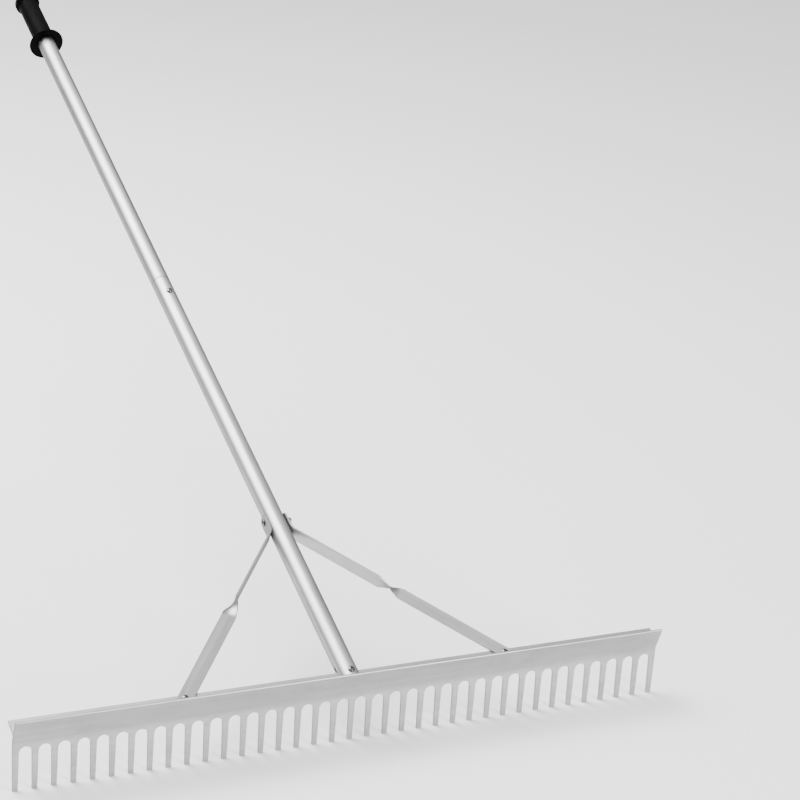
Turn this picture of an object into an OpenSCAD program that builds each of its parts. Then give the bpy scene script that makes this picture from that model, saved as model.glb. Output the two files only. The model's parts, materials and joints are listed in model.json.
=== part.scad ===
// Wide aluminium rake: extruded head with punched tines, two-section tube handle,
// two twisted brace bars and a rubber grip, held together with screws and lock nuts.
// Every piece is drawn in the handle's own axes: +Y runs up the handle from the
// front face of the head's web, +Z is square to the head's flange, and X runs along
// the head. placed() then stands the rake on its tine tips.

/* [Head] */
// Number of tines, always odd so that one lies in the middle
tine_count = 37; // [25:2:37]
// Distance from one tine to the next
tine_pitch = 25.4; // [24:0.2:28]
// Length of a tine from the crease to its tip
tine_length = 69.4; // [55:0.2:90]
// Width of a tine beside the round slot top
tine_root_width = 8.4; // [6:0.2:10]
// Width of a tine at its tip
tine_tip_width = 6.6; // [4:0.2:8]
// Plate left between the crease and the top of a slot
slot_top_drop = 8; // [4:0.5:12]
// Angle by which the tines lean forward of the web
tine_angle = 21.5; // [10:0.5:30]
// Height of the web from the crease to its lip
web_height = 35; // [30:0.5:45]
// Distance of the crease below the handle's axis
web_drop = 10; // [8:0.5:12]
// Thickness of the web and the tines
plate_thickness = 3.2; // [2.6:0.1:4]
// Thickness of the rear flange
flange_thickness = 3; // [2:0.1:4]
// Depth of the rear flange, measured from the front of the web
flange_depth = 27.5; // [25:0.5:32]

/* [Handle] */
// Outside diameter of both tubes
tube_diameter = 28.6; // [25:0.2:32]
// Wall of both tubes
tube_wall = 1.6; // [1.2:0.1:2]
// Length of the lower tube
lower_tube_length = 838; // [700:1:1000]
// Length of upper tube that shows between the seam and the grip
upper_tube_showing = 648; // [400:1:800]
// Length of the reduced end of the upper tube, inside the lower one
spigot_length = 76; // [60:1:120]
// Length of the slit in the lower tube that takes the flange
slit_length = 33; // [30:1:40]

/* [Braces] */
// Width of the brace bar
bar_width = 20; // [16:0.5:20]
// Thickness of the brace bar
bar_thickness = 2.5; // [2:0.1:4]
// Distance of a brace's foot screw from the middle of the head
brace_foot_x = 230; // [180:1:250]
// Distance of the brace bolt up the handle
brace_bolt_y = 314; // [280:1:360]
// Length of bar over which it turns edge on
twist_length = 36; // [30:1:60]

/* [Grip] */
// Diameter of the collar at the grip's lower end
collar_diameter = 58; // [45:1:65]
// Thickness of that collar
collar_thickness = 3; // [2:0.2:5]
// Diameter of the part that the hand holds
grip_diameter = 34; // [33:0.5:38]
// Length of the part that the hand holds
grip_body_length = 114; // [80:1:130]
// Diameter of the rounded end of the grip
grip_end_diameter = 42; // [40:1:50]

/* [Fasteners] */
// Nominal diameter of every screw
screw_diameter = 5; // [4:0.5:5]
// Diameter of a pan head
head_diameter = 9.6; // [9:0.2:10]
// Width of a lock nut across its flats
nut_flats = 8; // [8:0.5:9]
// Outside diameter of a washer
washer_diameter = 10; // [9:0.5:10]

/* [Hidden] */

aluminium = [0.78, 0.78, 0.79];
tube_grey = [0.86, 0.86, 0.87];
zinc = [0.72, 0.73, 0.75];
nylon = [0.93, 0.93, 0.90];
black_rubber = [0.07, 0.07, 0.07];

curve = 64;         // facets asked of a round piece
small_curve = 32;   // facets asked of a fastener
through = 1;        // how far a cutter passes beyond the face it cuts
touch_gap = 0.05;   // gap between faces that bear on each other around a curve

// Head
head_length = (tine_count - 1) * tine_pitch + tine_root_width;
web_top = web_height - web_drop;
slot_radius = (tine_pitch - tine_root_width) / 2;
slot_round = slot_top_drop + slot_radius;  // from the crease to the centre of a slot's round top
slot_tip_half = (tine_pitch - tine_tip_width) / 2;
hole_line = 19.3;                      // screw line along the flange, from the web's front
hole_gap = 0.25;                       // room round a screw in its hole
hole_radius = screw_diameter / 2 + hole_gap;
flange_fillet = 1;

// Middle of a tine tip's end face, as distances along Y and Z
tip_y = -tine_length * sin(tine_angle) + plate_thickness / 2 * cos(tine_angle);
tip_z = -web_drop - tine_length * cos(tine_angle) - plate_thickness / 2 * sin(tine_angle);

// Handle
tube_radius = tube_diameter / 2;
bore_radius = tube_radius - tube_wall;
slit_gap = 0.2;                        // room between the lower tube and the head
tube_foot = plate_thickness + flange_fillet + slit_gap;
seam = tube_foot + lower_tube_length;
grip_start = seam + upper_tube_showing;
spigot_gap = 0.1;                      // room round the spigot in the lower tube
spigot_radius = bore_radius - spigot_gap;
spigot_bore = spigot_radius - tube_wall;
shoulder = 1.2;                        // rounding where the upper tube steps down
neck = 5;                              // inside taper from the spigot's bore to the tube's
joint_screw_below_seam = 35;
joint_screw_y = seam - joint_screw_below_seam;

// Grip
grip_end_length = 13;
grip_end_wall = 5;
grip_end_rounding = 4;
collar_fillet = 2;
end_gap = 0.5;                         // between the tube's end and the grip's blind end
grip_length = collar_thickness + grip_body_length + grip_end_length;
tube_top = grip_start + grip_length - grip_end_wall - end_gap;

// Fasteners
screw_radius = screw_diameter / 2;
head_height = 3.4;
nut_height = 5;
nut_hex_height = 3.7;
nut_lip = 0.35;
washer_thickness = 1;
screw_showing = 1.6;                   // screw end that stands out of its nut
nut_lip_radius = screw_radius + 0.5;      // opening in the lip that holds the ring in
ring_groove_radius = screw_radius + 0.95;
ring_groove_start = 3.2;
nut_flange_gap = 0.3;                  // by which the round collar is slimmer than the flats

// Braces
bar_level = flange_thickness / 2 + bar_thickness / 2;
tab_x = tube_radius + touch_gap + bar_thickness / 2;
tab_face = tab_x + bar_thickness / 2 + touch_gap;  // where the brace bolt's head and washer sit
bend_below_bolt = 23;
bend_y = brace_bolt_y - bend_below_bolt;
bend_radius = 16;
bend_steps = 10;
twist_steps = 24;
brace_span = norm([brace_foot_x - tab_x, bend_y - hole_line]);
brace_run = sqrt(brace_span ^ 2 - bar_level ^ 2);
brace_angle = atan2(brace_foot_x - tab_x, bend_y - hole_line) + asin(bar_level / brace_span);
bend_tangent = bend_radius * tan(brace_angle / 2);
run_end = brace_run - bend_tangent;
twist_share = 0.48;                    // part of the sloping run that lies flat
twist_start = round(brace_run * twist_share);
tab_beyond_bolt = 12;
tab_round_beyond_bolt = 1;             // centre of the tab's rounded end
tab_round_radius = bar_width / 2 + 0.2;  // a little over half the bar, so its sides stay straight
tab_length = bend_below_bolt + tab_beyond_bolt - bend_tangent;

// Seats of the screw heads and washers, and the screw lengths that follow
tube_seat = tube_radius + touch_gap;
foot_seat = bar_level + bar_thickness / 2;
under_flange = -flange_thickness / 2;
stack = washer_thickness + nut_height + screw_showing;
tube_screw_length = 2 * tube_seat + stack;
brace_bolt_length = 2 * tab_face + stack;
foot_screw_length = foot_seat - under_flange + stack;

// Stands the rake on its tine tips, with the middle tip's end face on the origin
module placed() {
    rotate([tine_angle, 0, 0])
        translate([0, -tip_y, -tip_z])
            children();
}

// ---------------------------------------------------------------- head

// Concave corner of radius r in the quarter x > 0, y > 0
module corner_fillet(r) {
    difference() {
        square(r);
        translate([r, r]) circle(r, $fn = small_curve);
    }
}

// Cross-section of the extrusion: x is distance behind the web's front, y is height
module head_section() {
    t = plate_thickness;
    tip = [-tine_length * sin(tine_angle), -web_drop - tine_length * cos(tine_angle)];
    polygon([
        [0, web_top - t / 2],
        [0, -web_drop],
        tip,
        tip + t * [cos(tine_angle), -sin(tine_angle)],
        [t, -web_drop - t * tan(tine_angle / 2)],
        [t, web_top - t / 2]
    ]);
    translate([t / 2, web_top - t / 2]) circle(d = t, $fn = small_curve);
    translate([t / 2, -flange_thickness / 2])
        square([flange_depth - t / 2 - flange_thickness / 2, flange_thickness]);
    translate([flange_depth - flange_thickness / 2, 0])
        circle(d = flange_thickness, $fn = small_curve);
    translate([t, flange_thickness / 2]) corner_fillet(flange_fillet);
    mirror([0, 1]) translate([t, flange_thickness / 2]) corner_fillet(flange_fillet);
}

// Half the width of a slot at a distance below the crease
function slot_half(drop) =
    slot_radius + (slot_tip_half - slot_radius) * (drop - slot_round) / (tine_length - slot_round);

// Straight-sided part of a slot from a distance below the crease to beyond the tips
module slot_sides(drop) {
    reach = tine_length + through;
    polygon([
        [-slot_half(drop), -drop],
        [slot_half(drop), -drop],
        [slot_half(reach), -reach],
        [-slot_half(reach), -reach]
    ]);
}

module slot_shape() {
    translate([0, -slot_round]) circle(slot_radius, $fn = curve);
    slot_sides(slot_round);
}

// Sends a flat shape straight through the tine plate, with its y along the tines
module through_tines() {
    translate([0, 0, -web_drop])
        rotate([-tine_angle, 0, 0])
            rotate([90, 0, 0])
                linear_extrude(6 * plate_thickness, center = true)
                    children();
}

module flange_hole(x) {
    translate([x, hole_line, 0])
        cylinder(r = hole_radius, h = flange_thickness + 2 * through, center = true, $fn = small_curve);
}

module rake_head() {
    first_gap = -(tine_count - 2) / 2 * tine_pitch;
    color(aluminium) placed() difference() {
        rotate([90, 0, 90]) linear_extrude(head_length, center = true) head_section();
        for (i = [0 : tine_count - 2])
            translate([first_gap + i * tine_pitch, 0, 0]) through_tines() slot_shape();
        for (side = [-1, 1])
            translate([side * (tine_count / 2) * tine_pitch, 0, 0]) through_tines() slot_sides(slot_top_drop);
        for (x = [-brace_foot_x, 0, brace_foot_x]) flange_hole(x);
    }
}

// ---------------------------------------------------------------- handle

// Turns a profile drawn as [radius, distance up the handle] about the handle's axis
module turned() {
    rotate([-90, 0, 0]) rotate_extrude($fn = curve) children();
}

module cross_hole_z(y) {
    translate([0, y, 0])
        cylinder(r = hole_radius, h = tube_diameter + 2 * through, center = true, $fn = small_curve);
}

module cross_hole_x(y) {
    translate([0, y, 0]) rotate([0, 90, 0])
        cylinder(r = hole_radius, h = tube_diameter + 2 * through, center = true, $fn = small_curve);
}

module lower_tube() {
    color(tube_grey) placed() difference() {
        turned() translate([bore_radius, tube_foot]) square([tube_wall, lower_tube_length]);
        translate([-tube_radius - through, tube_foot - through, -flange_thickness / 2 - slit_gap])
            cube([tube_diameter + 2 * through, slit_length + through, flange_thickness + 2 * slit_gap]);
        cross_hole_z(hole_line);
        cross_hole_z(joint_screw_y);
        cross_hole_x(brace_bolt_y);
    }
}

// Tube section whose lower end is reduced to slide into the lower tube
module upper_tube_section() {
    polygon([
        [spigot_bore, seam - spigot_length],
        [spigot_radius, seam - spigot_length],
        [spigot_radius, seam + touch_gap],
        [tube_radius - shoulder, seam + touch_gap],
        [tube_radius, seam + shoulder],
        [tube_radius, tube_top],
        [bore_radius, tube_top],
        [bore_radius, seam + neck],
        [spigot_bore, seam + shoulder]
    ]);
    intersection() {
        translate([tube_radius - shoulder, seam + touch_gap + shoulder])
            circle(shoulder, $fn = small_curve);
        translate([bore_radius, seam]) square([tube_wall, 3 * shoulder]);
    }
}

module upper_tube() {
    color(tube_grey) placed() difference() {
        turned() upper_tube_section();
        cross_hole_z(joint_screw_y);
    }
}

// Outline of the rubber grip with its blind hole, from the collar's lower face upwards
module grip_section() {
    collar_r = collar_diameter / 2;
    body_r = grip_diameter / 2;
    end_r = grip_end_diameter / 2;
    edge = collar_thickness / 2;
    dome = grip_end_rounding;
    body_top = collar_thickness + grip_body_length;
    hole_r = tube_radius + touch_gap;
    difference() {
        union() {
            square([body_r, grip_length - dome]);
            square([collar_r - edge, collar_thickness]);
            translate([collar_r - edge, edge]) circle(edge, $fn = small_curve);
            translate([body_r, collar_thickness]) corner_fillet(collar_fillet);
            translate([0, body_top]) square([end_r - dome, grip_end_length]);
            translate([0, body_top + dome]) square([end_r, grip_end_length - 2 * dome]);
            for (y = [body_top + dome, grip_length - dome])
                translate([end_r - dome, y]) circle(dome, $fn = curve);
        }
        translate([0, -through]) square([hole_r, grip_length - grip_end_wall + through]);
        translate([-collar_r, -through]) square([collar_r, grip_length + 2 * through]);
    }
}

module grip() {
    color(black_rubber) placed() turned() translate([0, grip_start]) grip_section();
}

// ---------------------------------------------------------------- braces

// Points round the bend at radius r, from the sloping run to the tab
function round_bend(r) = [
    for (i = [0 : bend_steps])
        let (a = 180 - brace_angle * i / bend_steps)
            [bar_level + bend_radius + r * cos(a), run_end + r * sin(a)]
];

// Point on the tab's end, at radius r from the bend's centre
function tab_end(r) =
    round_bend(r)[bend_steps] + tab_length * [sin(brace_angle), cos(brace_angle)];

function reversed(list) = [for (i = [len(list) - 1 : -1 : 0]) list[i]];

// Brace bar with its sloping run along +Y from the foot screw. It lies flat on top of the
// flange, makes a quarter turn about the handle's level, and ends on edge beside the tube
module brace_bar() {
    half = bar_thickness / 2;
    twist_end = twist_start + twist_length;
    outer = bend_radius + half;
    inner = bend_radius - half;
    translate([0, 0, bar_level]) {
        cylinder(r = bar_width / 2, h = bar_thickness, center = true, $fn = curve);
        translate([-bar_width / 2, 0, -half]) cube([bar_width, twist_start, bar_thickness]);
    }
    translate([0, twist_start, 0]) rotate([-90, 0, 0])
        linear_extrude(twist_length, twist = -90, slices = twist_steps)
            translate([0, -bar_level]) square([bar_width, bar_thickness], center = true);
    linear_extrude(bar_width, center = true)
        polygon(concat(
            [[bar_level - half, twist_end]], round_bend(outer), [tab_end(outer)],
            [tab_end(inner)], reversed(round_bend(inner)), [[bar_level + half, twist_end]]
        ));
}

// What is cut away to round the tab's end, with the round's centre on the origin
module tab_corners() {
    reach = tab_round_radius + 3 * through;
    rotate([90, 0, 90]) linear_extrude(6 * bar_thickness, center = true) difference() {
        translate([0, -reach]) square([reach, 2 * reach]);
        circle(tab_round_radius, $fn = curve);
    }
}

module right_brace_shape() {
    hole_length = 4 * bar_thickness;
    difference() {
        translate([brace_foot_x, hole_line, 0]) rotate([0, 0, brace_angle]) brace_bar();
        translate([tab_x, brace_bolt_y + tab_round_beyond_bolt, 0]) tab_corners();
        translate([brace_foot_x, hole_line, bar_level])
            cylinder(r = hole_radius, h = hole_length, center = true, $fn = small_curve);
        translate([tab_x, brace_bolt_y, 0]) rotate([0, 90, 0])
            cylinder(r = hole_radius, h = hole_length, center = true, $fn = small_curve);
    }
}

module right_brace() {
    color(aluminium) placed() right_brace_shape();
}

module left_brace() {
    color(aluminium) placed() mirror([1, 0, 0]) right_brace_shape();
}

// ---------------------------------------------------------------- fasteners

// Cross-recessed pan-head screw: its head sits on z = 0 and its shank runs down
module pan_screw(length) {
    point = 0.8;
    crown = 7;
    cross_reach = 5;
    cross_width = 1;
    cross_depth = 2;
    difference() {
        intersection() {
            cylinder(d = head_diameter, h = head_height, $fn = small_curve);
            translate([0, 0, head_height - crown]) sphere(crown, $fn = curve);
        }
        for (turn = [0, 90])
            rotate([0, 0, turn + 45])
                translate([-cross_reach / 2, -cross_width / 2, head_height - cross_depth])
                    cube([cross_reach, cross_width, cross_depth + through]);
    }
    translate([0, 0, -length + point]) cylinder(r = screw_radius, h = length - point, $fn = small_curve);
    translate([0, 0, -length])
        cylinder(r1 = screw_radius - point / 2, r2 = screw_radius, h = point, $fn = small_curve);
}

// Hexagon lock nut: seat on z = 0, round collar with a groove for its ring downwards
module lock_nut() {
    difference() {
        union() {
            translate([0, 0, -nut_hex_height]) cylinder(d = nut_flats / cos(30), h = nut_hex_height, $fn = 6);
            translate([0, 0, -nut_height]) cylinder(d = nut_flats - nut_flange_gap, h = nut_height, $fn = small_curve);
        }
        translate([0, 0, -nut_height - through])
            cylinder(r = screw_radius + touch_gap, h = nut_height + 2 * through, $fn = small_curve);
        translate([0, 0, -nut_height - through])
            cylinder(r = nut_lip_radius, h = 2 * nut_lip + through, $fn = small_curve);
        translate([0, 0, -nut_height + nut_lip])
            cylinder(r = ring_groove_radius, h = nut_height - nut_lip - ring_groove_start, $fn = small_curve);
    }
}

// Nylon ring that fills the groove of a lock nut
module lock_ring() {
    depth = nut_height - nut_lip - ring_groove_start - 2 * touch_gap;
    translate([0, 0, -nut_height + nut_lip + touch_gap]) difference() {
        cylinder(r = ring_groove_radius - touch_gap, h = depth, $fn = small_curve);
        translate([0, 0, -through])
            cylinder(r = screw_radius + touch_gap / 2, h = depth + 2 * through, $fn = small_curve);
    }
}

// Washer hanging below z = 0
module washer() {
    translate([0, 0, -washer_thickness]) difference() {
        cylinder(d = washer_diameter, h = washer_thickness, $fn = small_curve);
        translate([0, 0, -through])
            cylinder(r = hole_radius, h = washer_thickness + 2 * through, $fn = small_curve);
    }
}

// The three places of the fasteners: square to the flange on the handle's middle line,
// across the tube at the brace bolt, and on a brace's foot. A seat is a height on that line
module on_tube(y, seat) {
    translate([0, y, seat]) children();
}

module across_tube(seat) {
    translate([0, brace_bolt_y, 0]) rotate([0, -90, 0]) translate([0, 0, seat]) children();
}

module on_foot(side, seat) {
    translate([side * brace_foot_x, hole_line, seat]) children();
}

module handle_screw() {
    color(zinc) placed() on_tube(hole_line, tube_seat) pan_screw(tube_screw_length);
}

module handle_washer() {
    color(zinc) placed() on_tube(hole_line, -tube_seat) washer();
}

module handle_nut() {
    color(zinc) placed() on_tube(hole_line, -tube_seat - washer_thickness) lock_nut();
}

module joint_screw() {
    color(zinc) placed() on_tube(joint_screw_y, tube_seat) pan_screw(tube_screw_length);
}

module joint_washer() {
    color(zinc) placed() on_tube(joint_screw_y, -tube_seat) washer();
}

module joint_nut() {
    color(zinc) placed() on_tube(joint_screw_y, -tube_seat - washer_thickness) lock_nut();
}

module brace_bolt() {
    color(zinc) placed() across_tube(tab_face) pan_screw(brace_bolt_length);
}

module brace_bolt_washer() {
    color(zinc) placed() across_tube(-tab_face) washer();
}

module brace_bolt_nut() {
    color(zinc) placed() across_tube(-tab_face - washer_thickness) lock_nut();
}

module left_brace_screw() {
    color(zinc) placed() on_foot(-1, foot_seat) pan_screw(foot_screw_length);
}

module left_brace_washer() {
    color(zinc) placed() on_foot(-1, under_flange) washer();
}

module left_brace_nut() {
    color(zinc) placed() on_foot(-1, under_flange - washer_thickness) lock_nut();
}

module right_brace_screw() {
    color(zinc) placed() on_foot(1, foot_seat) pan_screw(foot_screw_length);
}

module right_brace_washer() {
    color(zinc) placed() on_foot(1, under_flange) washer();
}

module right_brace_nut() {
    color(zinc) placed() on_foot(1, under_flange - washer_thickness) lock_nut();
}

module nut_rings() {
    color(nylon) placed() {
        for (y = [hole_line, joint_screw_y]) on_tube(y, -tube_seat - washer_thickness) lock_ring();
        across_tube(-tab_face - washer_thickness) lock_ring();
        for (side = [-1, 1]) on_foot(side, under_flange - washer_thickness) lock_ring();
    }
}

rake_head();
lower_tube();
upper_tube();
grip();
left_brace();
right_brace();
handle_screw();
handle_washer();
handle_nut();
joint_screw();
joint_washer();
joint_nut();
brace_bolt();
brace_bolt_washer();
brace_bolt_nut();
left_brace_screw();
left_brace_washer();
left_brace_nut();
right_brace_screw();
right_brace_washer();
right_brace_nut();
nut_rings();
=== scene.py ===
"""Looks of the aluminium rake: procedural metals and rubber, detailed fasteners, floor, light, camera.

Three directions are used throughout: ACROSS runs along the head, ALONG up the handle, and
ABOVE square to the head's flange. Lengths are in metres.
"""

import json
import math

import bmesh
import bpy
from mathutils import Matrix, Vector

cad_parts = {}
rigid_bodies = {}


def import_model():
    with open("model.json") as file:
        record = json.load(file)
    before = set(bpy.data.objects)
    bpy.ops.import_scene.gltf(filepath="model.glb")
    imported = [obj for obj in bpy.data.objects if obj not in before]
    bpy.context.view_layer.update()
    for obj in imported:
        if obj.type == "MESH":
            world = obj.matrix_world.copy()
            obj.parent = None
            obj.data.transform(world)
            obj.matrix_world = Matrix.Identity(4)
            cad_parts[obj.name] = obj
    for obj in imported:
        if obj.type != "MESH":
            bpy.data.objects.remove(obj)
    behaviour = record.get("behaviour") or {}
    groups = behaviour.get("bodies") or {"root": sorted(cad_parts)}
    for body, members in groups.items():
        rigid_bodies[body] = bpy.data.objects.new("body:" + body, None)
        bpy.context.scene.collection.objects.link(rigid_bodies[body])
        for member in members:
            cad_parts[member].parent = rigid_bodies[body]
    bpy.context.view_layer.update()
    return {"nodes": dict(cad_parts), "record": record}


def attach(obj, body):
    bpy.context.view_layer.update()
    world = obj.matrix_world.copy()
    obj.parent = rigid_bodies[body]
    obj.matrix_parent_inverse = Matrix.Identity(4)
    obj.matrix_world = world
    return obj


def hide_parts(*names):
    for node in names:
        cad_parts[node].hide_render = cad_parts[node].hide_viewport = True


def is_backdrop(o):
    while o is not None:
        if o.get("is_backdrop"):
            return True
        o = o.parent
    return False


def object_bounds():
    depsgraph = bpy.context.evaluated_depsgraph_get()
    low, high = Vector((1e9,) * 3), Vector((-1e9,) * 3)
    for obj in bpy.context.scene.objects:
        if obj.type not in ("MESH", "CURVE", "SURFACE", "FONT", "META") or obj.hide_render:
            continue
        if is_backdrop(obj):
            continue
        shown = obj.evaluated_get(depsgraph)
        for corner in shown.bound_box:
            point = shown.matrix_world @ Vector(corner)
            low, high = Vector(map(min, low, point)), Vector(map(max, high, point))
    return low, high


for leftover in list(bpy.data.objects):
    bpy.data.objects.remove(leftover)

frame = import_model()
nodes = frame["nodes"]
mounts = {m["name"]: m for m in frame["record"]["mounts"]}

MM = 0.001

# ------------------------------------------------------------------ directions and places

ALONG = Vector(mounts["hand_grip"]["axis"]).normalized()
ACROSS = Vector((1, 0, 0))
ABOVE = ACROSS.cross(ALONG)
FOOT_TILT = math.radians(38.6)  # angle between a brace and the handle


def span(node, direction):
    """Lowest and highest reach of a node along a direction."""
    reach = [direction.dot(v.co) for v in nodes[node].data.vertices]
    return min(reach), max(reach)


def placing(origin, z_axis, x_axis):
    """Matrix that puts a piece at origin, its own z along z_axis and its own x towards x_axis."""
    z = z_axis.normalized()
    x = (x_axis - x_axis.dot(z) * z).normalized()
    turn = Matrix((x, z.cross(x), z)).transposed().to_4x4()
    return Matrix.Translation(origin) @ turn


# ------------------------------------------------------------------ mesh helpers

WELD_DISTANCE = 1e-6
FLAT_ANGLE = math.radians(0.3)  # faces that turn less than this are one flat face
SHARP_ANGLE = math.radians(32)  # edges that turn less than this are shaded smooth
ROUNDED_ANGLE = math.radians(35)  # edges that turn more than this are rounded


def smooth_by_angle():
    """Modifier tree that shades smooth and keeps edges over the sharp angle sharp."""
    tree = bpy.data.node_groups.new("smooth_by_angle", "GeometryNodeTree")
    tree.interface.new_socket("Geometry", in_out="INPUT", socket_type="NodeSocketGeometry")
    tree.interface.new_socket("Geometry", in_out="OUTPUT", socket_type="NodeSocketGeometry")
    start = tree.nodes.new("NodeGroupInput")
    end = tree.nodes.new("NodeGroupOutput")
    plain = tree.nodes.new("GeometryNodeRemoveAttribute")
    plain.inputs["Name"].default_value = "custom_normal"
    faces = tree.nodes.new("GeometryNodeSetShadeSmooth")
    faces.domain = "FACE"
    faces.inputs["Shade Smooth"].default_value = True
    edges = tree.nodes.new("GeometryNodeSetShadeSmooth")
    edges.domain = "EDGE"
    angle = tree.nodes.new("GeometryNodeInputMeshEdgeAngle")
    soft = tree.nodes.new("FunctionNodeCompare")
    soft.data_type = "FLOAT"
    soft.operation = "LESS_THAN"
    soft.inputs[1].default_value = SHARP_ANGLE
    link = tree.links.new
    link(start.outputs[0], plain.inputs["Geometry"])
    link(plain.outputs[0], faces.inputs["Geometry"])
    link(faces.outputs[0], edges.inputs["Geometry"])
    link(angle.outputs["Unsigned Angle"], soft.inputs[0])
    link(soft.outputs[0], edges.inputs["Shade Smooth"])
    link(edges.outputs[0], end.inputs[0])
    return tree


SMOOTH = smooth_by_angle()


def finish_edges(piece, width):
    """Welds a piece's faces together, rounds its edges where a width is given and shades it smooth."""
    weld = piece.modifiers.new("weld", "WELD")
    weld.merge_threshold = WELD_DISTANCE
    whole = piece.modifiers.new("whole_flat_faces", "DECIMATE")
    whole.decimate_type = "DISSOLVE"
    whole.angle_limit = FLAT_ANGLE
    if width:
        bevel = piece.modifiers.new("rounded_edges", "BEVEL")
        bevel.width = width
        bevel.segments = 2
        bevel.limit_method = "ANGLE"
        bevel.angle_limit = ROUNDED_ANGLE
        bevel.use_clamp_overlap = True
    piece.modifiers.new("smooth", "NODES").node_group = SMOOTH
    flat = piece.modifiers.new("flat_faces_stay_flat", "WEIGHTED_NORMAL")
    flat.weight = 80
    flat.keep_sharp = True


def circle(radius, z, steps):
    """Points of a ring; the radius is a number or a function of the angle."""
    points = []
    for i in range(steps):
        angle = 2 * math.pi * i / steps
        r = radius(angle) if callable(radius) else radius
        points.append((r * math.cos(angle), r * math.sin(angle), z))
    return points


def swept(rings, loop=False):
    """Closed bmesh through successive rings: joined end to end, or capped at both ends."""
    bm = bmesh.new()
    rows = [[bm.verts.new(p) for p in ring] for ring in rings]
    pairs = list(zip(rows, rows[1:]))
    if loop:
        pairs.append((rows[-1], rows[0]))
    else:
        bm.faces.new(rows[0][::-1])
        bm.faces.new(rows[-1])
    for low, high in pairs:
        for i in range(len(low)):
            j = (i + 1) % len(low)
            bm.faces.new((low[i], low[j], high[j], high[i]))
    bmesh.ops.recalc_face_normals(bm, faces=bm.faces)
    return bm


def to_mesh(name, bm):
    """Mesh made from a bmesh, which is freed."""
    mesh = bpy.data.meshes.new(name)
    bm.to_mesh(mesh)
    bm.free()
    return mesh


def cut(mesh, cutters):
    """Mesh with the cutters taken out of it."""
    blank = bpy.data.objects.new("blank", mesh)
    bpy.context.collection.objects.link(blank)
    tools = []
    for cutter in cutters:
        tool = bpy.data.objects.new("tool", cutter)
        bpy.context.collection.objects.link(tool)
        taken = blank.modifiers.new("cut", "BOOLEAN")
        taken.operation = "DIFFERENCE"
        taken.solver = "EXACT"
        taken.object = tool
        tools.append(tool)
    state = bpy.context.evaluated_depsgraph_get()
    result = bpy.data.meshes.new_from_object(blank.evaluated_get(state))
    for used in [blank, *tools]:
        bpy.data.objects.remove(used)
    return result


def stand_for(node, mesh, materials, place):
    """Piece that stands for a CAD fastener, placed in the frame and riding on the one body."""
    mesh.transform(place)
    mesh.materials.clear()
    for material in materials:
        mesh.materials.append(material)
    piece = bpy.data.objects.new(f"{node}_detail", mesh)
    bpy.context.collection.objects.link(piece)
    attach(piece, "root")
    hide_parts(node)
    finish_edges(piece, 0.0)


def seat_of(node, axis, side_axis, below_top):
    """Place of a fastener's seat: on its own axis, a distance below its highest point."""
    other = axis.cross(side_axis)
    across_a = sum(span(node, side_axis)) / 2
    across_b = sum(span(node, other)) / 2
    origin = side_axis * across_a + other * across_b + axis * (span(node, axis)[1] - below_top)
    return placing(origin, axis, side_axis)


# ------------------------------------------------------------------ materials

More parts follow.
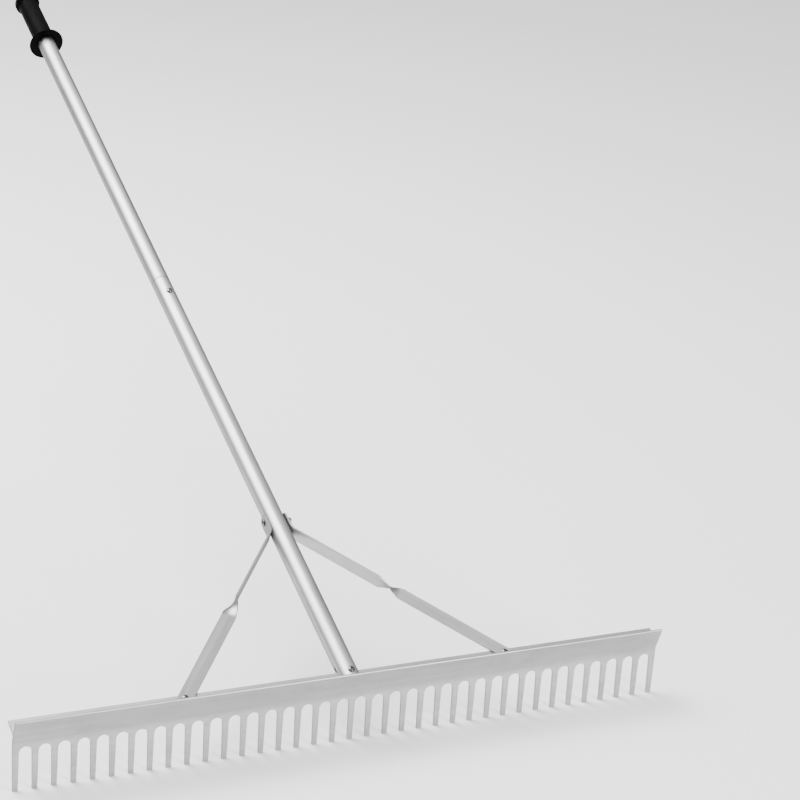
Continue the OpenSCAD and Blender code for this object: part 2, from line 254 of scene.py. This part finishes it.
class Shader:
    """A material under construction, with short calls for the nodes it needs."""

    def __init__(self, name):
        self.material = bpy.data.materials.new(name)
        self.material.use_nodes = True
        self.tree = self.material.node_tree
        self.surface = self.tree.nodes["Principled BSDF"]
        self.place = self.node("ShaderNodeTexCoord").outputs["Object"]

    def node(self, kind, **settings):
        """New node of a kind, with its settings."""
        made = self.tree.nodes.new(kind)
        for key, value in settings.items():
            setattr(made, key, value)
        return made

    def feed(self, socket, value):
        """Links another socket to this one, or sets its value."""
        if isinstance(value, bpy.types.NodeSocket):
            self.tree.links.new(value, socket)
        else:
            socket.default_value = value

    def along(self, direction, stretch, fine):
        """Coordinates for noise that runs along a direction: few marks along it, fine ones across."""
        turn = direction.normalized().rotation_difference(Vector((1, 0, 0))).to_euler()
        turned = self.node("ShaderNodeMapping")
        self.feed(turned.inputs["Vector"], self.place)
        turned.inputs["Rotation"].default_value = turn
        scaled = self.node("ShaderNodeMapping")
        self.feed(scaled.inputs["Vector"], turned.outputs[0])
        scaled.inputs["Scale"].default_value = (stretch, fine, fine)
        return scaled.outputs[0]

    def noise(self, vector, scale, detail=3.0, rough=0.55):
        """Noise, mostly near 0.5; rough is how strongly its finer detail shows."""
        made = self.node("ShaderNodeTexNoise")
        self.feed(made.inputs["Vector"], vector)
        made.inputs["Scale"].default_value = scale
        made.inputs["Detail"].default_value = detail
        made.inputs["Roughness"].default_value = rough
        return made.outputs["Fac"]

    def to_range(self, value, low, high, out_low, out_high):
        """Value clamped to low..high and stretched to out_low..out_high."""
        made = self.node("ShaderNodeMapRange")
        self.feed(made.inputs["Value"], value)
        made.inputs["From Min"].default_value = low
        made.inputs["From Max"].default_value = high
        made.inputs["To Min"].default_value = out_low
        made.inputs["To Max"].default_value = out_high
        return made.outputs[0]

    def maths(self, operation, a, b):
        """Result of an operation on two values."""
        made = self.node("ShaderNodeMath", operation=operation)
        self.feed(made.inputs[0], a)
        self.feed(made.inputs[1], b)
        return made.outputs[0]

    def blend(self, factor, a, b):
        """Colour between a, at factor 0, and b, at factor 1."""
        made = self.node("ShaderNodeMix", data_type="RGBA")
        self.feed(made.inputs[0], factor)
        self.feed(made.inputs[6], a)
        self.feed(made.inputs[7], b)
        return made.outputs[2]

    def bump(self, height, distance, strength, under=None):
        """Normal bent by a height, on top of the bump under it."""
        made = self.node("ShaderNodeBump")
        made.inputs["Strength"].default_value = strength
        made.inputs["Distance"].default_value = distance
        self.feed(made.inputs["Height"], height)
        if under is not None:
            self.feed(made.inputs["Normal"], under)
        return made.outputs[0]

    def band(self, direction, distance, half_width):
        """1 in a narrow band across a direction, 0 elsewhere."""
        reach = self.node("ShaderNodeVectorMath", operation="DOT_PRODUCT")
        self.feed(reach.inputs[0], self.place)
        self.feed(reach.inputs[1], direction)
        off = self.maths("ABSOLUTE", self.maths("SUBTRACT", reach.outputs["Value"], distance), 0.0)
        return self.to_range(off, half_width * 0.5, half_width, 1.0, 0.0)

    def edges(self, radius):
        """1 along sharp edges, 0 on open faces."""
        rounded = self.node("ShaderNodeBevel", samples=6)
        rounded.inputs["Radius"].default_value = radius
        plain = self.node("ShaderNodeNewGeometry").outputs["Normal"]
        cosine = self.node("ShaderNodeVectorMath", operation="DOT_PRODUCT")
        self.feed(cosine.inputs[0], rounded.outputs[0])
        self.feed(cosine.inputs[1], plain)
        return self.to_range(cosine.outputs["Value"], 0.995, 0.90, 0.0, 1.0)


def grey(level):
    """Very slightly cool grey."""
    return (level, level, level * 1.01, 1.0)


def aluminium(name, direction, level, roughness, line_depth, edge_tint=0.3, seam=None):
    """Mill-finish aluminium with drawing lines, streaks, clouding, scuffs, and sharp edges that are
    rougher and painted darker as shade.

    The level is the metal's own tone, and the lines run in the direction. A seam is a distance
    along the direction at which a dark band of painted shade lies across a joint.
    """
    s = Shader(name)
    lines = s.noise(s.along(direction, stretch=4, fine=900), scale=1.0, detail=4.0, rough=0.7)
    broad = s.noise(s.along(direction, stretch=2.5, fine=160), scale=1.0, detail=3.0, rough=0.6)
    cloud = s.noise(s.place, scale=9.0, detail=4.0, rough=0.6)
    patch = s.noise(s.along(direction, stretch=22, fine=70), scale=1.0, detail=4.0, rough=0.65)
    scuff = s.to_range(s.noise(s.place, scale=65.0, detail=6.0, rough=0.75), 0.62, 0.74, 0.0, 1.0)
    shaded_and_dulled_edges = s.edges(0.6 * MM)

    def shade(share):
        """The metal's tone made darker, or lighter where the share is over 1."""
        return grey(level * share)

    tone = s.blend(s.to_range(cloud, 0.35, 0.65, 0.0, 1.0), shade(0.93), shade(1.05))
    tone = s.blend(s.to_range(lines, 0.35, 0.7, 0.0, 0.34), tone, shade(0.72))
    tone = s.blend(s.to_range(patch, 0.45, 0.72, 0.0, 0.55), tone, shade(0.76))
    tone = s.blend(s.to_range(broad, 0.52, 0.75, 0.0, 0.5), tone, shade(1.22))
    tone = s.blend(s.maths("MULTIPLY", scuff, 0.22), tone, shade(0.86))
    # Painted shade: sharp edges darkened to a little over half the metal's tone.
    tone = s.blend(s.maths("MULTIPLY", shaded_and_dulled_edges, 0.7), tone, shade(0.55))
    # Painted shade: a dark band across the joint, where the upper tube's lip shades the lower tube.
    if seam is not None:
        joint = s.band(direction, seam, 1.1 * MM)
        painted_joint_shade = s.maths("MULTIPLY", joint, s.to_range(cloud, 0.3, 0.6, 0.55, 0.95))
        tone = s.blend(painted_joint_shade, tone, shade(0.22))
    s.feed(s.surface.inputs["Base Color"], tone)
    s.surface.inputs["Metallic"].default_value = 1.0

    rough = s.to_range(broad, 0.3, 0.7, roughness - 0.05, roughness + 0.05)
    rough = s.maths("ADD", rough, s.maths("MULTIPLY", scuff, 0.07))
    # The same edges are also rougher: real dulling.
    rough = s.maths("ADD", rough, s.maths("MULTIPLY", shaded_and_dulled_edges, 0.06))
    s.feed(s.surface.inputs["Roughness"], rough)
    s.surface.inputs["Specular Tint"].default_value = (edge_tint, edge_tint, edge_tint, 1.0)

    fine = s.bump(lines, line_depth, 0.5)
    wave = s.bump(broad, line_depth * 4, 0.35, fine)
    s.feed(s.surface.inputs["Normal"], wave)
    return s.material


def zinc(name):
    """Zinc plate: polished but rather dark, with an uneven tone, a fine grain and edges painted darker
    as shade.
    """
    s = Shader(name)
    cloud = s.noise(s.place, scale=420.0, detail=4.0, rough=0.6)
    grain = s.noise(s.place, scale=2600.0, detail=3.0, rough=0.6)
    shaded_and_dulled_edges = s.edges(0.5 * MM)
    clouded = s.to_range(cloud, 0.35, 0.65, 0.0, 1.0)
    tone = s.blend(clouded, (0.10, 0.102, 0.108, 1), (0.20, 0.203, 0.21, 1))
    # Painted shade: the edges, such as the rim of a screw head, darkened almost to black.
    tone = s.blend(s.maths("MULTIPLY", shaded_and_dulled_edges, 0.6), tone, (0.045, 0.045, 0.048, 1))
    s.feed(s.surface.inputs["Base Color"], tone)
    s.surface.inputs["Metallic"].default_value = 1.0
    s.feed(s.surface.inputs["Roughness"], s.to_range(cloud, 0.3, 0.7, 0.10, 0.20))
    s.feed(s.surface.inputs["Normal"], s.bump(grain, 0.02 * MM, 0.35))
    return s.material


def dark_recess(name):
    """Inside of a driver recess: zinc painted dark as shade."""
    s = Shader(name)
    cloud = s.noise(s.place, scale=900.0, detail=4.0, rough=0.6)
    tone = s.blend(cloud, (0.03, 0.03, 0.032, 1), (0.10, 0.10, 0.105, 1))
    s.feed(s.surface.inputs["Base Color"], tone)
    s.surface.inputs["Metallic"].default_value = 0.6
    s.feed(s.surface.inputs["Roughness"], s.to_range(cloud, 0.3, 0.7, 0.45, 0.65))
    return s.material


def nylon(name):
    """Off-white nylon with a faint cloud and a soft waxy surface."""
    s = Shader(name)
    cloud = s.noise(s.place, scale=700.0, detail=3.0, rough=0.5)
    tone = s.blend(cloud, (0.80, 0.80, 0.76, 1), (0.90, 0.90, 0.86, 1))
    s.feed(s.surface.inputs["Base Color"], tone)
    s.feed(s.surface.inputs["Roughness"], s.to_range(cloud, 0.3, 0.7, 0.38, 0.52))
    s.surface.inputs["Subsurface Weight"].default_value = 0.1
    s.surface.inputs["Subsurface Scale"].default_value = 0.5 * MM
    return s.material


def rubber(name):
    """Moulded black rubber: fine pebble, faint bloom, slightly shiny rubbed places and worn edges."""
    s = Shader(name)
    pebble = s.noise(s.place, scale=1900.0, detail=3.0, rough=0.5)
    bloom = s.noise(s.place, scale=38.0, detail=5.0, rough=0.65)
    rubbed = s.noise(s.along(ALONG, stretch=12, fine=60), scale=1.0, detail=3.0, rough=0.5)
    worn = s.edges(0.8 * MM)
    bloomed = s.to_range(bloom, 0.4, 0.75, 0.0, 1.0)
    tone = s.blend(bloomed, (0.0008, 0.0008, 0.0009, 1), (0.0020, 0.0020, 0.0021, 1))
    tone = s.blend(s.maths("MULTIPLY", worn, 0.5), tone, (0.008, 0.008, 0.0083, 1))
    s.feed(s.surface.inputs["Base Color"], tone)
    s.feed(s.surface.inputs["Roughness"], s.to_range(rubbed, 0.3, 0.7, 0.42, 0.66))
    s.surface.inputs["Specular IOR Level"].default_value = 0.022
    s.feed(s.surface.inputs["Normal"], s.bump(pebble, 0.06 * MM, 0.5))
    return s.material


def brace_direction(side):
    """Way a brace runs, from its foot towards the handle."""
    return (ALONG * math.cos(FOOT_TILT) - ACROSS * side * math.sin(FOOT_TILT)).normalized()


COARSE_LINES = 0.012 * MM  # depth of the drawing lines
FINE_LINES = 0.006 * MM

HEAD_METAL = aluminium(
    "extruded_aluminium_head", ACROSS, level=0.41, roughness=0.46, line_depth=COARSE_LINES
)
TUBE_METAL = aluminium(
    "drawn_aluminium", ALONG, level=0.48, roughness=0.44, line_depth=FINE_LINES,
    edge_tint=0.12, seam=span("lower_tube", ALONG)[1]
)
# The two braces are the same aluminium: the left one's darker level is painted shade, the right one's
# lighter level is painted light.
LEFT_BAR_SHADED_METAL = aluminium(
    "left_bar_aluminium_painted_shade", brace_direction(-1), level=0.34, roughness=0.40, line_depth=COARSE_LINES
)
RIGHT_BAR_LIT_METAL = aluminium(
    "right_bar_aluminium_painted_light", brace_direction(1), level=0.45, roughness=0.40, line_depth=COARSE_LINES
)
ZINC = zinc("zinc_plate")
RECESS = dark_recess("recess_painted_shade")
NYLON = nylon("nylon_ring")
RUBBER = rubber("moulded_rubber")


def dress(node, material, edge_width):
    """Gives a CAD node its material and rounded edges."""
    part = nodes[node]
    part.material_slots[0].link = "OBJECT"
    part.material_slots[0].material = material
    finish_edges(part, edge_width)


dress("rake_head", HEAD_METAL, edge_width=0.30 * MM)
dress("lower_tube", TUBE_METAL, edge_width=0.15 * MM)
dress("upper_tube", TUBE_METAL, edge_width=0.12 * MM)
dress("left_brace", LEFT_BAR_SHADED_METAL, edge_width=0.25 * MM)
dress("right_brace", RIGHT_BAR_LIT_METAL, edge_width=0.25 * MM)
dress("grip", RUBBER, edge_width=0.3 * MM)
dress("nut_rings", NYLON, edge_width=0.0)
for fastener in ("handle", "joint", "brace_bolt", "left_brace", "right_brace"):
    dress(f"{fastener}_washer", ZINC, edge_width=0.12 * MM)

# ------------------------------------------------------------------ fasteners

HEAD_RADIUS = 4.8 * MM
HEAD_HEIGHT = 3.4 * MM
CROWN_RADIUS = 7.0 * MM  # of the sphere that the head's domed top is part of
SHANK_RADIUS = 2.5 * MM
TIP_RADIUS = 1.75 * MM
TIP_LENGTH = 0.45 * MM  # plain end below the thread
PITCH = 0.8 * MM
THREAD_DEPTH = 0.42 * MM
THREAD_LENGTH = 9.0 * MM
THREAD_FLANK = 0.4  # share of the pitch that each flank takes; the flat crest has the rest
RUN_OUT = 0.3 * MM  # from the end of the thread to the full shank
RECESS_FLOOR = (1.3, 0.9, 0.28)  # height, half length and half width of a recess wing, in mm
RECESS_MOUTH = (3.6, 2.75, 0.60)

NUT_APOTHEM = 4.0 * MM
NUT_HEX = 3.7 * MM  # height of the hexagon
NUT_HEIGHT = 5.0 * MM
NUT_CHAMFER = 0.36 * MM
COLLAR_RADIUS = 3.85 * MM
COLLAR_CURL = 0.55 * MM  # radius of the bend over the nylon ring
LIP_RADIUS = 3.0 * MM
LIP_THICKNESS = 0.35 * MM
RING_RADIUS = 3.45 * MM
RING_DEPTH = 3.2 * MM  # how far behind the seat the nylon ring begins
BORE_RADIUS = 2.55 * MM
BORE_MOUTH_RADIUS = 2.75 * MM
BORE_MOUTH_DEPTH = 0.2 * MM


def thread(z):
    """Radius round a screw at height z: a flat-topped ridge that climbs one pitch a turn."""
    def radius(angle):
        turn = (z / PITCH - angle / (2 * math.pi)) % 1.0
        ridge = min(1.0, (0.5 - abs(turn - 0.5)) / THREAD_FLANK)
        return SHANK_RADIUS - THREAD_DEPTH * (1.0 - ridge)
    return radius


def crown_height(radius):
    """Height of the domed top of a pan head at a distance from its axis."""
    return HEAD_HEIGHT - CROWN_RADIUS + math.sqrt(CROWN_RADIUS ** 2 - radius ** 2)


def cross_wing(turn):
    """Cutter for one of the two crossed slots of a driver recess, longer and wider at its mouth."""
    rings = []
    wing = Matrix.Rotation(turn, 3, "Z")
    for z, half_length, half_width in (RECESS_FLOOR, RECESS_MOUTH):
        corners = ((-1, -1), (1, -1), (1, 1), (-1, 1))
        rings.append([wing @ Vector((x * half_length, y * half_width, z)) * MM for x, y in corners])
    return to_mesh("wing", swept(rings))


def screw_mesh(length):
    """Pan-head machine screw: seat on z = 0, threaded end down, cross recess in its crown."""
    steps = 40
    rings_per_pitch = 8
    crown_rings = 9
    start = -length + TIP_LENGTH
    shank_start = start + THREAD_LENGTH + RUN_OUT

    rings = [circle(TIP_RADIUS, -length, steps)]
    for i in range(int(THREAD_LENGTH / PITCH * rings_per_pitch)):
        z = start + i * PITCH / rings_per_pitch
        rings.append(circle(thread(z), z, steps))
    rings += [circle(SHANK_RADIUS, z, steps) for z in (shank_start, -0.4 * MM, -0.02 * MM)]

    crown_edge = crown_height(HEAD_RADIUS)
    for inset, z in (
        (0.22 * MM, 0.0),
        (0.06 * MM, 0.07 * MM),
        (0.0, 0.24 * MM),
        (0.0, crown_edge - 0.35 * MM),
        (0.1 * MM, crown_edge - 0.05 * MM),
    ):
        rings.append(circle(HEAD_RADIUS - inset, z, steps))
    rim = HEAD_RADIUS - 0.35 * MM
    for i in range(crown_rings):
        r = rim * (1 - i / crown_rings)
        rings.append(circle(r, crown_height(r), steps))

    solid = to_mesh("screw", swept(rings))
    mesh = cut(solid, [cross_wing(math.radians(45)), cross_wing(math.radians(135))])
    recess_radius = 2.6 * MM
    recess_floor = 1.2 * MM
    below_crown = 0.06 * MM
    # Faces inside the cross recess take the second material, which is painted dark as shade.
    for face in mesh.polygons:
        x, y, z = face.center
        r = math.hypot(x, y)
        if r < recess_radius and recess_floor < z < crown_height(r) - below_crown:
            face.material_index = 1
    return mesh


def nut_mesh():
    """Hexagon lock nut: seat on z = 0, chamfered corners, round collar curled over its ring."""
    steps = 72
    corner_radius = NUT_APOTHEM / math.cos(math.radians(30))
    end_radius = NUT_APOTHEM * 0.975
    chamfer_steps = [i / 4 for i in range(5)]

    def hexagon(limit):
        """Radius of a hexagon whose corners are turned down to a limit."""
        def radius(angle):
            corner = (math.degrees(angle) % 60.0) - 30.0
            return min(NUT_APOTHEM / math.cos(math.radians(corner)), limit)
        return radius

    def chamfered(f, depth):
        """Ring of the chamfer cone, from its small end, at 0, to the full hexagon, at 1."""
        return circle(hexagon(end_radius + (corner_radius - end_radius) * f), -depth, steps)

    rings = [circle(BORE_MOUTH_RADIUS, 0.0, steps)]
    rings += [chamfered(f, NUT_CHAMFER * f) for f in chamfer_steps]
    rings += [chamfered(f, NUT_HEX - NUT_CHAMFER * f) for f in reversed(chamfer_steps)]
    rings.append(circle(COLLAR_RADIUS, -NUT_HEX - 0.02 * MM, steps))
    for i in range(6):
        a = math.radians(18 * i)
        r = COLLAR_RADIUS - COLLAR_CURL + COLLAR_CURL * math.cos(a)
        rings.append(circle(r, -NUT_HEIGHT + COLLAR_CURL - COLLAR_CURL * math.sin(a), steps))
    for r, depth in (
        (LIP_RADIUS, NUT_HEIGHT),
        (LIP_RADIUS, NUT_HEIGHT - LIP_THICKNESS),
        (RING_RADIUS, NUT_HEIGHT - LIP_THICKNESS - 0.01 * MM),
        (RING_RADIUS, RING_DEPTH),
        (BORE_RADIUS, RING_DEPTH - 0.05 * MM),
        (BORE_RADIUS, BORE_MOUTH_DEPTH),
    ):
        rings.append(circle(r, -depth, steps))
    return to_mesh("nut", swept(rings, loop=True))


# Each screw with its nut, the direction its head faces and a direction square to that.
FASTENERS = (
    ("handle_screw", "handle_nut", ABOVE, ACROSS),
    ("joint_screw", "joint_nut", ABOVE, ACROSS),
    ("brace_bolt", "brace_bolt_nut", -ACROSS, ABOVE),
    ("left_brace_screw", "left_brace_nut", ABOVE, ACROSS),
    ("right_brace_screw", "right_brace_nut", ABOVE, ACROSS),
)
for screw, nut, axis, side_axis in FASTENERS:
    low, high = span(screw, axis)
    screw_seat = seat_of(screw, axis, side_axis, HEAD_HEIGHT)
    nut_seat = seat_of(nut, axis, side_axis, 0.0)
    stand_for(screw, screw_mesh(high - low - HEAD_HEIGHT), (ZINC, RECESS), screw_seat)
    stand_for(nut, nut_mesh(), (ZINC,), nut_seat)

# ------------------------------------------------------------------ floor and light

FLOOR_REACH = 60.0


def floor():
    """Large pale floor with a faint mottling, under the tine tips."""
    bm = bmesh.new()
    bmesh.ops.create_grid(bm, x_segments=2, y_segments=2, size=FLOOR_REACH)
    mesh = to_mesh("floor", bm)
    s = Shader("pale_floor")
    tone = s.blend(s.noise(s.place, scale=1.2), (0.86, 0.86, 0.86, 1), (0.89, 0.89, 0.89, 1))
    s.feed(s.surface.inputs["Base Color"], tone)
    s.surface.inputs["Roughness"].default_value = 0.85
    s.surface.inputs["Specular IOR Level"].default_value = 0.1
    mesh.materials.append(s.material)
    plate = bpy.data.objects.new("floor", mesh)
    plate.location = (0, 0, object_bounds()[0][2])
    bpy.context.collection.objects.link(plate)
    plate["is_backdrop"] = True


def soft_light(name, place, target, size, power):
    """Square soft box that faces a target."""
    data = bpy.data.lights.new(name, "AREA")
    data.shape = "SQUARE"
    data.size = size
    data.energy = power
    lamp = bpy.data.objects.new(name, data)
    lamp.location = place
    lamp.rotation_euler = (Vector(target) - Vector(place)).to_track_quat("-Z", "Y").to_euler()
    bpy.context.collection.objects.link(lamp)


def surroundings(horizon, zenith):
    """Studio walls: dim up to a little above the horizon, brightest overhead.

    The ramp runs over the sine of the height above the horizon.
    """
    world = bpy.data.worlds.new("studio")
    world.use_nodes = True
    tree = world.node_tree
    back = tree.nodes["Background"]
    back.inputs["Color"].default_value = (1.0, 1.0, 1.0, 1.0)
    place = tree.nodes.new("ShaderNodeTexCoord")
    split = tree.nodes.new("ShaderNodeSeparateXYZ")
    ramp = tree.nodes.new("ShaderNodeMapRange")
    ramp.interpolation_type = "SMOOTHSTEP"
    ramp.inputs["From Min"].default_value = 0.1
    ramp.inputs["From Max"].default_value = 0.9
    ramp.inputs["To Min"].default_value = horizon
    ramp.inputs["To Max"].default_value = zenith
    tree.links.new(place.outputs["Generated"], split.inputs[0])
    tree.links.new(split.outputs["Z"], ramp.inputs["Value"])
    tree.links.new(ramp.outputs[0], back.inputs["Strength"])
    bpy.context.scene.world = world


floor()
surroundings(horizon=0.20, zenith=1.6)
soft_light("overhead", place=(-1.24, 1.97, 3.3), target=(0.0, 0.7, 0.3), size=2.9, power=380)
soft_light("front", place=(1.2, -2.9, 0.85), target=(0.0, 0.0, 0.15), size=1.0, power=150)

# ------------------------------------------------------------------ camera

def camera(place, azimuth, elevation, roll, lens):
    """Camera that looks along an azimuth from +Y, down by an elevation, turned by a roll."""
    a, e, r = (math.radians(v) for v in (azimuth, elevation, roll))
    ahead = Vector((math.sin(a) * math.cos(e), math.cos(a) * math.cos(e), -math.sin(e)))
    level = ahead.cross(Vector((0, 0, 1))).normalized()
    upright = level.cross(ahead)
    right = level * math.cos(r) + upright * math.sin(r)
    data = bpy.data.cameras.new("camera")
    data.sensor_width = 36.0
    data.lens = lens
    data.clip_end = 100.0
    eye = bpy.data.objects.new("camera", data)
    turn = Matrix((right, right.cross(ahead), -ahead)).transposed().to_4x4()
    eye.matrix_world = Matrix.Translation(place) @ turn
    bpy.context.collection.objects.link(eye)
    bpy.context.scene.camera = eye


# Fitted to the photograph.
camera(place=(-1.2752, -2.6743, 1.5724), azimuth=26.173, elevation=20.199, roll=4.124, lens=112.76)
